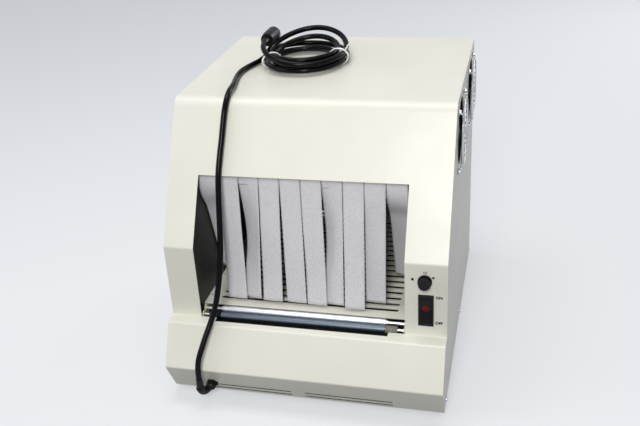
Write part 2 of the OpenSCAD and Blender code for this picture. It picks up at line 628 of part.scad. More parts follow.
module rocker() color([0.06, 0.06, 0.07]) rocker_frame() {
    difference() {
        translate([-9, 0, 0]) rotate([90, 0, 90]) linear_extrude(18)
            polygon([[-20, 5], [0, 2.2], [20, 5], [20, -1], [8, -6], [3, -8.5], [-3, -8.5], [-8, -6],
                [-20, -1]]);
        translate([0, red_lens_up, 1]) cylinder(d = red_lens_d, h = 5);
    }
    translate([-10.6, 0, -pivot_depth]) rotate([0, 90, 0]) cylinder(d = pivot_d, h = 21.2, $fn = 32);
}
module switch_lens() color("red") rocker_frame()
    translate([0, red_lens_up, 1]) cylinder(d = red_lens_d, h = 2.8);
module terminal_block() color("ivory") difference() {
    box([cab_x + 195, -160, z_floor + sheet_t], [cab_x + 225, -60, z_floor + 28]);
    for (i = [0 : 4]) {
        box([cab_x + 203, -155 + 19 * i, z_floor + 20], [cab_x + 217, -142 + 19 * i, z_floor + 30]);
        translate([cab_x + 210, -148.5 + 19 * i, z_floor + 10]) cylinder(d = 5, h = 20);
    }
}

// ---------- mains cord ----------
gland_y = nose[0] + (nose[1] - gland_z) * (plinth[0] - nose[0]) / (nose[1] - plinth[1]);
plinth_tilt = atan((plinth[0] - nose[0]) / (nose[1] - plinth[1]));
// Local Z stands out of the plinth at the gland
module at_gland() translate([gland_x, gland_y, gland_z]) rotate([90 + plinth_tilt, 0, 0]) children();
module cord_gland() color([0.05, 0.05, 0.05]) {
    at_gland() {
        cylinder(d = 21, h = 5, $fn = 6);
        translate([0, 0, -9]) cylinder(d = 11.8, h = 12);
        translate([0, 0, 7]) sphere(d = 17);
    }
    // boot that turns the cord from the plinth up along the nose, with a collar where its taper starts
    translate(route[0] - [0, 0, 20]) rotate([0, 0, -boot_azimuth]) {
        translate([0, 0, -3]) cylinder(d = boot_d + 1.6, h = 4);
        translate([0, 0, -1]) cylinder(d1 = boot_d, d2 = cord_d + 1, h = 21);
        translate([0, boot_r, 0]) rotate([90, 0, -90]) rotate([0, 0, -boot_turn]) {
            rotate_extrude(angle = boot_turn) translate([boot_r, 0]) circle(d = boot_d);
            translate([boot_r, 0, 0]) rotate([90, 0, 0]) cylinder(d = boot_d, h = 8);
        }
    }
}
cord_sides = 10;
function smooth(a, b, c, d, t) = 0.5 * (2 * b + (c - a) * t + (2 * a - 5 * b + 4 * c - d) * t * t
    + (3 * b - a - 3 * c + d) * t * t * t);
function route_point(i) = route[max(0, min(len(route) - 1, i))];
cord_line = [for (i = [0 : len(route) - 2], t = [0, 0.5])
        smooth(route_point(i - 1), route_point(i), route_point(i + 1), route_point(i + 2), t),
    route[len(route) - 1]];
function heading(i) = i == 0 ? [0, 0, 1] : unit(cord_line[min(i + 1, len(cord_line) - 1)] - cord_line[i - 1]);
// A ring round the cord; its sides stay parallel to X as far as the route allows
function ring(i) = let (h = heading(i), u = unit(cross([0, 1, 0.35], h)), v = cross(h, u))
    [for (k = [0 : cord_sides - 1])
        cord_line[i] + cord_d / 2 * (cos(k * 360 / cord_sides) * u + sin(k * 360 / cord_sides) * v)];
module cord() color([0.05, 0.05, 0.05]) {
    rings = len(cord_line);
    polyhedron(
        points = [for (i = [0 : rings - 1]) each ring(i)],
        faces = [
            [for (k = [0 : cord_sides - 1]) k],
            for (i = [0 : rings - 2], k = [0 : cord_sides - 1]) let (n = (k + 1) % cord_sides)
                [i * cord_sides + k, (i + 1) * cord_sides + k, (i + 1) * cord_sides + n, i * cord_sides + n],
            [for (k = [cord_sides - 1 : -1 : 0]) (rings - 1) * cord_sides + k]]);
}
module cord_coil() color([0.05, 0.05, 0.05]) translate([coil_at[0], coil_at[1], z_top + bundle_d / 2])
    rotate_extrude() translate([coil_r, 0]) circle(d = bundle_d, $fn = 32);
module cord_ties() color("whitesmoke") translate([coil_at[0], coil_at[1], z_top + bundle_d / 2])
    for (a = [-8, 214]) rotate([0, 0, a]) translate([coil_r, 0, 0]) rotate([90, 35, 0])
        rotate_extrude(angle = 250) translate([bundle_d / 2, 0]) circle(d = 2.2, $fn = 16);
// The plug lies against the outer side of the bundle's top
plug_z = z_top + bundle_d / 2 + sqrt(pow((bundle_d + plug_d) / 2, 2) - pow(plug_shift, 2));
module plug() color([0.06, 0.06, 0.06])
    translate([coil_at[0] - coil_r - plug_shift, plug_y, plug_z]) rotate([-90, 0, 0]) {
        cylinder(d1 = plug_d - 3, d2 = plug_d, h = 14);
        translate([0, 0, 14]) cylinder(d = plug_d, h = plug_l - 14);
        translate([0, 0, -20]) cylinder(d1 = cord_d + 1, d2 = 15, h = 20);
        for (x = [-6.4, 6.4]) translate([x - 0.8, -3.2, plug_l]) cube([1.6, 6.4, 17]);
        translate([0, 7, plug_l]) cylinder(d = 5, h = 19);
    }

front_cover();
left_panel();
right_panel();
rear_cover();
base_pan();
feet();
side_screws();
rear_screws();
liner_supports();
tunnel_liner();
insulation();
bed_rails();
slotted_bed();
heaters();
heater_brackets();
air_baffle();
blower_motor();
blower_wheel();
front_curtain_rod();
front_strip_1();
front_strip_2();
front_strip_3();
front_strip_4();
front_strip_5();
front_strip_6();
front_strip_7();
front_strip_8();
front_strip_9();
front_strip_10();
rear_curtain_rod();
rear_strips();
roller_brackets();
roller_cradle();
upper_shaft();
upper_roller();
lower_shaft();
lower_roller();
roller_end_blocks();
exit_brackets();
exit_shaft();
exit_roller();
front_fan_frame();
rear_fan_frame();
front_fan_rotor();
rear_fan_rotor();
front_finger_guard();
rear_finger_guard();
fan_screws();
knob();
knob_spindle();
thermostat();
switch_housing();
rocker();
switch_lens();
terminal_block();
cord_gland();
cord();
cord_coil();
cord_ties();
plug();
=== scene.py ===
"""Looks of a table-top heat-shrink tunnel. Sizes are in metres unless a comment says otherwise."""
import json
import math

import bmesh
import bpy
from mathutils import Matrix, Vector


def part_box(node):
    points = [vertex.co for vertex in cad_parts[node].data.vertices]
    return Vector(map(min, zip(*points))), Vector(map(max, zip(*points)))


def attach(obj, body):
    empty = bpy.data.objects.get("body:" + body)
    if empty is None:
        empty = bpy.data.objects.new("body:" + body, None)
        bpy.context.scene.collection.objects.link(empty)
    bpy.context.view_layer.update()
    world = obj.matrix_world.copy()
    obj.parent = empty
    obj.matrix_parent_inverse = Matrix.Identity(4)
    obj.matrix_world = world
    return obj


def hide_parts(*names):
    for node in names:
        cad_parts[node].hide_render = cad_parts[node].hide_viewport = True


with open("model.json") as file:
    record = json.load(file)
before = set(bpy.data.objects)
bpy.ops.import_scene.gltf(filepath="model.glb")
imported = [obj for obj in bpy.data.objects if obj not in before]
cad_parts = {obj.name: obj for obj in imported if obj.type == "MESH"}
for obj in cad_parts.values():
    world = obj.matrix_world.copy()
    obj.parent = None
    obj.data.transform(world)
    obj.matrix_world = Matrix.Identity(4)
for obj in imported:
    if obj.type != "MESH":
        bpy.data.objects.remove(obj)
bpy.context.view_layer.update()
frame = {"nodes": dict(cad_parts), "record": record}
nodes = frame["nodes"]
scene = bpy.context.scene
scene.view_settings.view_transform = "Standard"

MM_PER_M = 1000


def middle(node):
    low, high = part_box(node)
    return (low + high) / 2


def smoothstep(t):
    t = max(0.0, min(1.0, t))
    return t * t * (3 - 2 * t)


FRONT_ROD = middle("front_curtain_rod")
REAR_ROD = middle("rear_curtain_rod")
TUNNEL_X = FRONT_ROD.x

# ---------- camera ----------
CAMERA_AT = Vector((0.337, -1.335, 0.952))
CAMERA_AIM = Vector((-0.024, 0.0, 0.234))
CAMERA_ROLL = 3.94
LENS = 46.5
SENSOR = 36


def make_camera():
    data = bpy.data.cameras.new("camera")
    data.lens = LENS
    data.sensor_width = SENSOR
    data.clip_end = 20
    camera = bpy.data.objects.new("camera", data)
    scene.collection.objects.link(camera)
    facing = (CAMERA_AIM - CAMERA_AT).to_track_quat("-Z", "Y").to_matrix().to_4x4()
    roll = Matrix.Rotation(math.radians(-CAMERA_ROLL), 4, "Z")
    camera.matrix_world = Matrix.Translation(CAMERA_AT) @ facing @ roll
    scene.camera = camera


make_camera()


# ---------- materials ----------
def srgb(r, g, b):
    def linear(c):
        c /= 255
        return c / 12.92 if c <= 0.04045 else ((c + 0.055) / 1.055) ** 2.4
    return (linear(r), linear(g), linear(b), 1)


def shade(color, factor):
    return (color[0] * factor, color[1] * factor, color[2] * factor, 1)


class Mat:
    """A Principled material with procedural detail in object space."""

    def __init__(self, name, color, rough, metallic=0.0):
        self.m = bpy.data.materials.new(name)
        self.m.use_nodes = True
        self.m.diffuse_color = color
        self.tree = self.m.node_tree
        self.shader = self.tree.nodes["Principled BSDF"]
        self.color = color
        self.set(Base_Color=color, Roughness=rough, Metallic=metallic)
        self.coord = self.new("TexCoord").outputs["Object"]
        self.normal = None

    def new(self, kind, **sockets):
        node = self.tree.nodes.new("ShaderNode" + kind)
        for name, value in sockets.items():
            node.inputs[name].default_value = value
        return node

    def link(self, a, b):
        self.tree.links.new(a, b)

    def set(self, **values):
        for name, value in values.items():
            self.shader.inputs[name.replace("_", " ")].default_value = value
        return self

    def noise(self, scale, detail=3.0, rough=0.5, stretch=(1, 1, 1)):
        mapping = self.new("Mapping", Scale=stretch)
        self.link(self.coord, mapping.inputs["Vector"])
        noise = self.new("TexNoise", Scale=scale, Detail=detail, Roughness=rough)
        self.link(mapping.outputs["Vector"], noise.inputs["Vector"])
        return noise.outputs["Fac"]

    def bands(self, axis, scale, distortion):
        wave = self.new("TexWave", Scale=scale, Distortion=distortion)
        wave.bands_direction = axis
        self.link(self.coord, wave.inputs["Vector"])
        return wave.outputs["Fac"]

    def tint(self, fac, other, low=0.35, high=0.75):
        """The base colour drifts to another one as fac goes from low to high."""
        ramp = self.new("ValToRGB")
        for element, at, color in zip(ramp.color_ramp.elements, (low, high), (self.color, other)):
            element.position = at
            element.color = color
        self.link(fac, ramp.inputs["Fac"])
        self.link(ramp.outputs["Color"], self.shader.inputs["Base Color"])
        return self

    def rough(self, fac, low, high):
        spread = self.new("MapRange")
        spread.inputs["To Min"].default_value = low
        spread.inputs["To Max"].default_value = high
        self.link(fac, spread.inputs["Value"])
        self.link(spread.outputs["Result"], self.shader.inputs["Roughness"])
        return self

    def bump(self, fac, strength, distance):
        """Adds to the bumps that the material already has."""
        bump = self.new("Bump", Strength=strength, Distance=distance)
        self.link(fac, bump.inputs["Height"])
        if self.normal:
            self.link(self.normal, bump.inputs["Normal"])
        self.normal = bump.outputs["Normal"]
        self.link(self.normal, self.shader.inputs["Normal"])
        return self


def paint(name, color, rough=0.38):
    m = Mat(name, color, rough)
    m.tint(m.noise(7, 5), shade(color, 0.93), 0.4, 0.8)
    m.rough(m.noise(26, 4), rough - 0.06, rough + 0.10)
    m.bump(m.noise(950, 2), 0.06, 0.0004)
    m.bump(m.noise(5, 2), 0.05, 0.004)
    return m.set(Coat_Weight=0.15, Coat_Roughness=0.25)


def metal(name, color, rough, streak=(1, 1, 1), wear=0.75):
    m = Mat(name, color, rough, 1.0)
    m.tint(m.noise(60, 4, 0.6, streak), shade(color, wear), 0.3, 0.8)
    m.rough(m.noise(140, 3, 0.5, streak), rough * 0.7, rough * 1.4)
    m.bump(m.noise(500, 2, 0.5, streak), 0.08, 0.0003)
    return m


def plastic(name, color, rough=0.45, grain=1400):
    m = Mat(name, color, rough)
    m.tint(m.noise(40, 3), shade(color, 1.35), 0.45, 0.85)
    m.rough(m.noise(90, 3), rough - 0.06, rough + 0.1)
    m.bump(m.noise(grain, 2), 0.12, 0.0002)
    return m.set(Specular_IOR_Level=0.22)


def mineral_wool():
    m = Mat("mineral_wool", srgb(190, 178, 124), 0.95)
    m.tint(m.noise(120, 6, 0.7), shade(m.color, 0.6))
    return m.bump(m.noise(420, 6, 0.75), 0.6, 0.002)


def red_lens():
    m = Mat("red_lens", srgb(64, 2, 4), 0.3)
    # painted highlights: bright red specks in the dark red base colour stand in for sparkles of light in the
    # lens
    m.tint(m.noise(700, 2), srgb(190, 16, 18), 0.5, 0.72)
    m.bump(m.noise(900, 2), 0.1, 0.0002)
    return m.set(Specular_IOR_Level=0.2)


def curtain_cloth():
    """Coated cloth: a plain weave under soft folds, with dark specks between its threads."""
    m = Mat("curtain_cloth", srgb(238, 237, 241), 0.55)
    m.tint(m.noise(1500, 2, 0.6), srgb(166, 165, 174), 0.5, 0.7)
    for axis in "XZ":
        m.bump(m.bands(axis, 260, 0.6), 0.22, 0.0003)
    m.bump(m.noise(34, 4, 0.5, (2.2, 1, 0.6)), 0.35, 0.004)
    m.rough(m.noise(50, 3), 0.5, 0.72)
    return m.set(Sheen_Weight=0.15, Metallic=0.15)


MATS = {
    "cream_paint": paint("cream_paint", srgb(240, 238, 226)),
    "liner_metal": metal("liner_metal", srgb(70, 74, 68), 0.5, (1, 1, 5), 0.5).set(Metallic=0.6),
    "bright_steel": metal("bright_steel", srgb(216, 217, 220), 0.3),
    "polished_steel": metal("polished_steel", srgb(240, 243, 248), 0.36, (0.1, 6, 6), 0.9),
    "satin_roller": metal("satin_roller", srgb(112, 122, 134), 0.42, (0.15, 5, 5), 0.7),
    "black_steel": paint("black_steel", srgb(22, 22, 24), 0.5),
    "mineral_wool": mineral_wool(),
    "heater_sheath": metal("heater_sheath", srgb(120, 104, 92), 0.5, (1, 1, 1), 0.6),
    "aluminium_plate": metal("aluminium_plate", srgb(200, 202, 204), 0.35, (0.2, 4, 4), 0.85),
    "tan_plastic": plastic("tan_plastic", srgb(126, 117, 102), 0.5),
    "bracket_paint": paint("bracket_paint", srgb(214, 206, 168), 0.45),
    "black_plastic": plastic("black_plastic", srgb(13, 13, 16), 0.34),
    "black_gloss": plastic("black_gloss", srgb(8, 6, 8), 0.18, 2200),
    "red_lens": red_lens(),
    "white_plastic": plastic("white_plastic", srgb(226, 222, 206), 0.5),
    "rubber_foot": plastic("rubber_foot", srgb(38, 38, 40), 0.75, 900),
    "cord_jacket": plastic("cord_jacket", srgb(5, 5, 8), 0.2, 1800).set(Specular_IOR_Level=0.14),
    "tie_wire": plastic("tie_wire", srgb(232, 232, 228), 0.4),
    "curtain_cloth": curtain_cloth(),
    "panel_ink": plastic("panel_ink", srgb(10, 10, 12), 0.6),
}


def finish_all(mesh, slot):
    mesh.materials.clear()
    mesh.materials.append(MATS[slot].m)
    for face in mesh.polygons:
        face.material_index = 0


for part in frame["record"]["subparts"]:
    finish_all(nodes[part["node"]].data, part["material_slot"])

# ---------- finishes that divide a node ----------
LOWER_AXIS = Vector((TUNNEL_X, -0.2175, 0.1378))
BLOCK_OUT = 0.155                                # from the tunnel's middle to the middle of an end block
SCREW_TILT = math.radians(60)
SCREW_UP = Vector((0, -math.sin(SCREW_TILT), math.cos(SCREW_TILT)))
SCREW_SEAT = 0.0038                              # from the roller's axis to the floor of a clamp screw's seat
SCREW_SLOT = 0.0066                              # and to just above the floor of the screw's slot
SCREW_R = 0.00305
VENTS = ((0.0140, 0.0180), (0.0240, 0.0280))     # heights of the two rows of slots in the plinth
PLINTH_Y = -0.24


def finish_end_blocks():
    """The left block takes the black_plastic finish as painted shade, and the right one is tan. Each has a
    steel clamp screw, and the floor of its slot takes the black_steel finish as painted shade.
    """
    mesh = nodes["roller_end_blocks"].data
    for slot in ("black_plastic", "satin_roller", "black_steel"):
        mesh.materials.append(MATS[slot].m)
    tan, left_shade, screw, slot_shade = range(4)
    for face in mesh.polygons:
        out = math.copysign(BLOCK_OUT, face.center.x)
        from_axis = face.center - LOWER_AXIS - Vector((out, 0, 0))
        up = from_axis.dot(SCREW_UP)
        # painted shade: the left block lies in shade, so it takes the black_plastic finish
        face.material_index = left_shade if out < 0 else tan
        if up > SCREW_SEAT and (from_axis - up * SCREW_UP).length < SCREW_R:
            flat = abs(face.normal.dot(SCREW_UP)) > 0.9
            # painted shade: the flat floor of the screw's slot takes the black_steel finish for the shade
            # inside the slot
            face.material_index = slot_shade if up < SCREW_SLOT and flat else screw


def paint_vent_shade():
    """Painted shade: the cut edges of the plinth vents take the black_steel finish, for the shade inside the
    vents.
    """
    mesh = nodes["front_cover"].data
    mesh.materials.append(MATS["black_steel"].m)
    for face in mesh.polygons:
        in_vent = any(low < face.center.z < high for low, high in VENTS)
        if in_vent and face.center.y < PLINTH_Y and abs(face.normal.z) > 0.9:
            face.material_index = 1


finish_end_blocks()
paint_vent_shade()

# ---------- rounded edges ----------
EDGE_WIDTHS = {"front_cover": 0.0004, "left_panel": 0.0003, "right_panel": 0.0003, "knob": 0.0004,
               "switch_housing": 0.0005, "rocker": 0.0005, "roller_end_blocks": 0.0005,
               "roller_brackets": 0.0004, "fan_screws": 0.0003, "upper_roller": 0.0004,
               "lower_roller": 0.0004}


def soften(obj, width):
    """Rounded edges and smooth normals on a CAD node, without touching its mesh."""
    mod = obj.modifiers.new("soft_edges", "BEVEL")
    mod.width = width
    mod.segments = 2
    mod.limit_method = "ANGLE"
    mod.angle_limit = math.radians(32)
    mod.harden_normals = True
    for face in obj.data.polygons:
        face.use_smooth = True


for name, width in EDGE_WIDTHS.items():
    soften(nodes[name], width)


# ---------- new pieces ----------
def link(name, data):
    obj = bpy.data.objects.new(name, data)
    scene.collection.objects.link(obj)
    return obj


def piece(name, data, slot, body="root", at=None, finish=None):
    """A piece with the finish of its slot in the record, or another one of MATS. It rides on a body."""
    obj = link(name, data)
    if at is not None:
        obj.matrix_world = at
    data.materials.append(MATS[finish or slot].m)
    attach(obj, body)
    return obj


def mesh_from(name, bm, smooth=False):
    bmesh.ops.recalc_face_normals(bm, faces=bm.faces)
    mesh = bpy.data.meshes.new(name)
    bm.to_mesh(mesh)
    bm.free()
    for face in mesh.polygons:
        face.use_smooth = smooth
    return mesh


def tube(name, line, radius, slot):
    data = bpy.data.curves.new(name, "CURVE")
    data.dimensions = "3D"
    data.bevel_depth = radius
    data.bevel_resolution = 5
    data.use_fill_caps = True
    spline = data.splines.new("POLY")
    spline.points.add(len(line) - 1)
    for point, at in zip(spline.points, line):
        point.co = (*at, 1)
    spline.use_smooth = True
    return piece(name, data, slot)


# ---------- mains cord ----------
CORD_D = 0.010
# from the gland up the front and back over the top to the coil, in mm
ROUTE = [
    (-178, -299, 56), (-178, -299, 60), (-178, -299, 68), (-177.5, -298, 79), (-176.5, -295, 91),
    (-174.5, -290, 102), (-171, -281, 115), (-166.5, -269, 131), (-160, -254, 151), (-154, -238, 177),
    (-150, -222, 212), (-148, -206, 252), (-149, -191, 294), (-151, -176, 336), (-152, -162, 378),
    (-151, -146, 410), (-150, -134, 430), (-149.5, -122.5, 449), (-149, -112.5, 465.5),
    (-148.5, -106.5, 475), (-148, -100.5, 482.5), (-148, -92.5, 489.5), (-148, -84, 494.5),
    (-148.5, -74.5, 497.5), (-149.5, -64, 498.5), (-151, -50, 498.5), (-154, -33, 497.5),
    (-158, -15, 496.5), (-162, 5, 495.5), (-164.5, 25, 495.5), (-164.5, 45, 495.5), (-160.5, 66, 495.5),
    (-154, 84, 496), (-146.5, 101, 497.5), (-138, 124, 501.5)]
# the free end leaves the coil at the front and bends back to the plug
FREE_END = [
    (-45, 34.5, 511), (-62, 32, 512.5), (-80, 33.5, 514.5), (-97, 39.5, 517.5), (-112, 50, 521),
    (-124, 64.5, 525), (-132, 81.5, 529), (-136, 101, 530.8)]

coil_low, coil_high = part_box("cord_coil")
BUNDLE_D = coil_high.z - coil_low.z              # the CAD's coil is a ring as thick as the bundle
COIL_R = (coil_high.x - coil_low.x - BUNDLE_D) / 2
COIL_UP = 0.0157                                 # from the cabinet's top to the middle of the bundle
COIL_MIDDLE = Vector((middle("cord_coil").x, middle("cord_coil").y, coil_low.z + COIL_UP))
TURNS = 4.62
POINTS_PER_TURN = 24
COIL_START = 35                                  # where the first turn begins, in degrees round the coil
BRAID_TURNS = 5                                  # turns in which a strand goes once round the others
BRAID_OUT = 0.0125                               # how far a strand goes from the bundle's middle
BRAID_UP = 0.0093
REAR_AT, REAR_SPREAD = 96, 100                   # where the strands lie looser at the rear, in degrees
REAR_LOOSE = 0.25
FRONT_AT, FRONT_SPREAD = 262, 66                 # and at the front, where they also lie flatter
FRONT_LOOSE = 0.55
FRONT_FLAT = 0.12
PILE_FROM = 2.05                                 # turns after which the strands pile up at the rear
PILE_OUT = 0.0030                                # and how far each later turn lies out and up
PILE_UP = 0.0098


def near(beta, at, spread):
    """1 at an angle round the coil, falling to 0 beyond the spread, which are in degrees."""
    away = abs((math.degrees(beta) - at + 180) % 360 - 180)
    return smoothstep(1 - away / spread)


def round_coil(t):
    """The angle, and the direction out of the coil, t turns into it."""
    beta = math.radians(COIL_START) + 2 * math.pi * t
    return beta, Vector((-math.cos(beta), math.sin(beta), 0))


def coil_point(t):
    """t turns into the coil. The strands turn round each other, close at the ties and loose between."""
    beta, outwards = round_coil(t)
    alpha = -2 * math.pi * t / BRAID_TURNS
    rear = near(beta, REAR_AT, REAR_SPREAD)
    front = near(beta, FRONT_AT, FRONT_SPREAD)
    piled = rear * max(0, t - PILE_FROM)
    out = BRAID_OUT * math.cos(alpha) * (1 + FRONT_LOOSE * front + REAR_LOOSE * rear) + PILE_OUT * piled
    up = BRAID_UP * math.sin(alpha) * (1 - FRONT_FLAT * front) + PILE_UP * piled
    return COIL_MIDDLE + outwards * (COIL_R + out) + Vector((0, 0, up))


def spline(points, steps):
    """Even Catmull-Rom samples through the points."""
    line = []
    last = len(points) - 1
    for i in range(last):
        a, b, c, d = (points[max(0, min(last, i + k))] for k in (-1, 0, 1, 2))
        for s in range(steps):
            t = s / steps
            line.append(0.5 * (2 * b + (c - a) * t + (2 * a - 5 * b + 4 * c - d) * t * t
                               + (3 * b - a - 3 * c + d) * t ** 3))
    return line + [points[-1]]


# ties: where on the coil, in turns, and the side that the tail points to
TIES = {"tie_left": (0.807, 1), "tie_right": (0.425, -1)}
TIE_OUT = 0.0184                                 # half the width and half the height of a tie's loop
TIE_UP = 0.0141
TIE_LOOPS = 2
TIE_PITCH = 0.0035
TIE_STEPS = 36                                   # points in a loop
TIE_R = 0.0011                                   # radius of the wire
TAIL_R = 0.0010                                  # radius of the wire in the tail, and of its twist
TAIL_TURNS = 2.2
TAIL_STEPS = 21
TAIL_ROOT = (0.0130, 0.0125)                     # out and up from the bundle's middle
TAIL_ALONG, TAIL_OUT, TAIL_UP = 0.00035, 0.00022, 0.00042    # what each step of the tail adds


def tie(name, t, side):
    """A white wire tie round the bundle of turns, and its two ends twisted into a short tail."""
    outwards = round_coil(t)[1]
    along = Vector((outwards.y, -outwards.x, 0))
    centre = COIL_MIDDLE + outwards * COIL_R
    loop = []
    for i in range(TIE_LOOPS * TIE_STEPS):
        a = 2 * math.pi * i / TIE_STEPS
        loop.append(centre + outwards * TIE_OUT * math.cos(a) + Vector((0, 0, TIE_UP * math.sin(a)))
                    + along * TIE_PITCH * (i / TIE_STEPS - TIE_LOOPS / 2))
    root = centre + outwards * TAIL_ROOT[0] + Vector((0, 0, TAIL_ROOT[1]))
    tail = []
    for i in range(TAIL_STEPS + 1):
        a = 2 * math.pi * TAIL_TURNS * i / TAIL_STEPS
        twist = Vector((TAIL_R * math.cos(a), TAIL_R * math.sin(a), TAIL_UP * i))
        tail.append(root + along * side * TAIL_ALONG * i + outwards * TAIL_OUT * i + twist)
    return [tube(name, loop, TIE_R, "tie_wire"), tube(name + "_tail", tail, TAIL_R, "tie_wire")]


def make_cord():
    points = [Vector(p) / MM_PER_M for p in ROUTE]
    points += [coil_point(i / POINTS_PER_TURN) for i in range(int(TURNS * POINTS_PER_TURN) + 1)]
    points += [Vector(p) / MM_PER_M for p in FREE_END]
    line = spline(points, 4)
    mains = tube("mains_cord", line, CORD_D / 2, "cord_jacket")
    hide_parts("cord", "cord_coil")
    ties = [obj for name, (t, side) in TIES.items() for obj in tie(name, t, side)]
    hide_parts("cord_ties")


make_cord()

# ---------- curtains ----------
STRIPS = 10
STRIP_GAP = 0.0008
FRONT_L = 0.229
FRONT_LEAN = 7.5                                 # degrees
CLOTH_T = 0.0005
HEM_L = 0.016                                    # how far the sewn hem comes down behind the strip
HEM_DEPTH = 0.0012
FOLD_R = 0.0034                                  # radius of the fold round the rod
FACE_DEPTH = -0.0004
NECK = 0.004                                     # below the rod's axis, where the strip hangs free
WAVE = 0.0010                                    # height of a slow wave down the strip
WAVE_RATE = 6.5                                  # and its radians from end to end
WAVE_SHIFT = 90                                  # radians per metre from one strip to the next
CUP = 0.0007                                     # how far the middle of a strip bows out
ACROSS = 12                                      # faces across and down a strip
DOWN = 36


class Drape:
    """How a strip hangs: how far its free end drifts sideways (mm), its turn about its right edge (degrees),
    where down the strip the turn is greatest, how much of it is left at the free end, its swing inwards
    (degrees), and its extra length (mm)."""

    def __init__(self, drift=0, turn=3, peak=1.0, left=1.0, inwards=0, extra=0):
        self.drift = drift / MM_PER_M
        self.turn = math.radians(turn)
        self.peak = peak
        self.left = left
        self.inwards = inwards
        self.extra = extra / MM_PER_M

    def twist(self, down_by):
        twist = self.turn * math.sin(math.pi / 2 * min(1.0, down_by / self.peak))
        if self.peak < 1:
            twist *= 1 - (1 - self.left) * smoothstep((down_by - self.peak) / (1 - self.peak))
        return twist


FRONT_DRAPES = [
    Drape(turn=8, inwards=22, extra=-4),
    Drape(drift=4),
    Drape(drift=-6, turn=34, peak=0.55, left=0.45, extra=-2),
    Drape(drift=-3, turn=2),
    Drape(drift=4.4),
    Drape(drift=5.2, turn=2, extra=1),
    Drape(drift=-2, turn=25, peak=0.50, left=0.40, inwards=0.5),
    Drape(turn=2, inwards=-0.8, extra=2),
    Drape(drift=-2.5, inwards=3.2, extra=-5),
    Drape(turn=10, peak=0.60, inwards=24, extra=-4)]
REAR_DRAPE = Drape(turn=2)


def strip_path(drop):
    """(depth, height) from the end of the hem, round the rod and down, and where the free part starts."""
    path = [(HEM_DEPTH, -HEM_L + 0.003 * i) for i in range(4)]
    for degrees in range(-20, 181, 25):
        a = math.radians(degrees)
        path.append((FOLD_R * math.cos(a), FOLD_R * math.sin(a)))
    free_from = len(path)
    path += [(FACE_DEPTH, -NECK - drop * i / DOWN) for i in range(DOWN + 1)]
    return path, free_from


def hang_strip(name, x_mid, width, rod, length, lean, drape, body):
    """A strip folded round its rod and sewn, hanging to its free end, and returned with its flat size."""
    drop = length - NECK + drape.extra
    path, free_from = strip_path(drop)
    edge = width / 2
    bm = bmesh.new()
    rows = []
    for j, (depth, height) in enumerate(path):
        down_by = (-height - NECK) / drop if j >= free_from else 0.0
        slack = smoothstep(down_by * 1.1)
        twist = drape.twist(down_by)
        # a swing inwards is complete a third of the way down
        hang = Matrix.Rotation(math.radians(drape.inwards * smoothstep(down_by * 3) - lean), 4, "X")
        wave = WAVE * math.sin(WAVE_RATE * down_by + x_mid * WAVE_SHIFT) * slack
        row = []
        for i in range(ACROSS + 1):
            u = i / ACROSS * 2 - 1
            from_edge = u * edge - edge
            cup = CUP * (1 - u * u) * slack
            p = hang @ Vector((edge + from_edge * math.cos(twist) + drape.drift * down_by,
                               depth - from_edge * math.sin(twist) - wave - cup, height))
            row.append(bm.verts.new((x_mid + p.x, rod.y + p.y, rod.z + p.z)))
        rows.append(row)
    for a, b in zip(rows, rows[1:]):
        for i in range(ACROSS):
            bm.faces.new((a[i], a[i + 1], b[i + 1], b[i]))
    obj = piece(name, mesh_from(name, bm, smooth=True), "curtain_cloth", body)
    thickness = obj.modifiers.new("thickness", "SOLIDIFY")
    thickness.thickness = CLOTH_T
    thickness.offset = 0
    run = sum(math.dist(a, b) for a, b in zip(path, path[1:]))
    return obj, (round(width, 4), round(run, 4))


def make_front_curtain():
    for i, drape in enumerate(FRONT_DRAPES):
        body = "front_strip_%d" % (i + 1)
        low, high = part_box(body)
        obj, flat = hang_strip("curtain_%d" % (i + 1), (low.x + high.x) / 2, high.x - low.x, FRONT_ROD,
                               FRONT_L, FRONT_LEAN, drape, body)
        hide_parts(body)


def make_rear_curtain():
    low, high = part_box("rear_strips")
    pitch = (high.x - low.x + STRIP_GAP) / STRIPS
    width = pitch - STRIP_GAP
    for i in range(STRIPS):
        obj, flat = hang_strip("rear_curtain_%d" % (i + 1), low.x + width / 2 + i * pitch, width, REAR_ROD,
                               REAR_ROD.z - low.z, 0, REAR_DRAPE, "rear_curtain")
        if i == 0:
            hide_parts("rear_strips")


make_front_curtain()
make_rear_curtain()

# ---------- markings on the control panel ----------
# the panel leans back by 4.5 mm over its height, and its foot is where it meets the sill
PANEL_LEAN = math.atan(4.5 / 133.5)
PANEL_FOOT = (0, -0.2255, 0.137)
PANEL = Matrix.Translation(PANEL_FOOT) @ Matrix.Rotation(math.radians(90) - PANEL_LEAN, 4, "X")
KNOB = (0.2005, 0.104)                           # across, and up the panel
SWITCH = (0.2023, 0.050)
INK_SUNK = 0.00005                               # how far the ink goes into the panel, and stands out of it
INK_PROUD = 0.00025
LABEL_OUT = 0.0212                               # from the switch's middle to the middle of a label
LABEL_SIZE = 0.0068
# dial marks: degrees round the knob, distance from its axis, length and width
DIAL_MARKS = ((96, 0.0150, 0.0042, 0.0013), (84, 0.0150, 0.0042, 0.0013),
              (27, 0.0150, 0.0036, 0.0034), (174, 0.0200, 0.0040, 0.0042))


def ink_bar(bm, x, up, angle, length, width):
    """A flat bar of ink on the panel, at an angle."""
    cos, sin = math.cos(angle), math.sin(angle)
    corners = []
    for along, across in ((-1, -1), (1, -1), (1, 1), (-1, 1)):
        a, b = along * length / 2, across * width / 2
        corners.append((x + a * cos - b * sin, up + a * sin + b * cos))
    low, high = ([bm.verts.new(PANEL @ Vector((*corner, out))) for corner in corners]
                 for out in (-INK_SUNK, INK_PROUD))
    bm.faces.new(low[::-1])
    bm.faces.new(high)
    for i in range(4):
        bm.faces.new((low[i], low[(i + 1) % 4], high[(i + 1) % 4], high[i]))


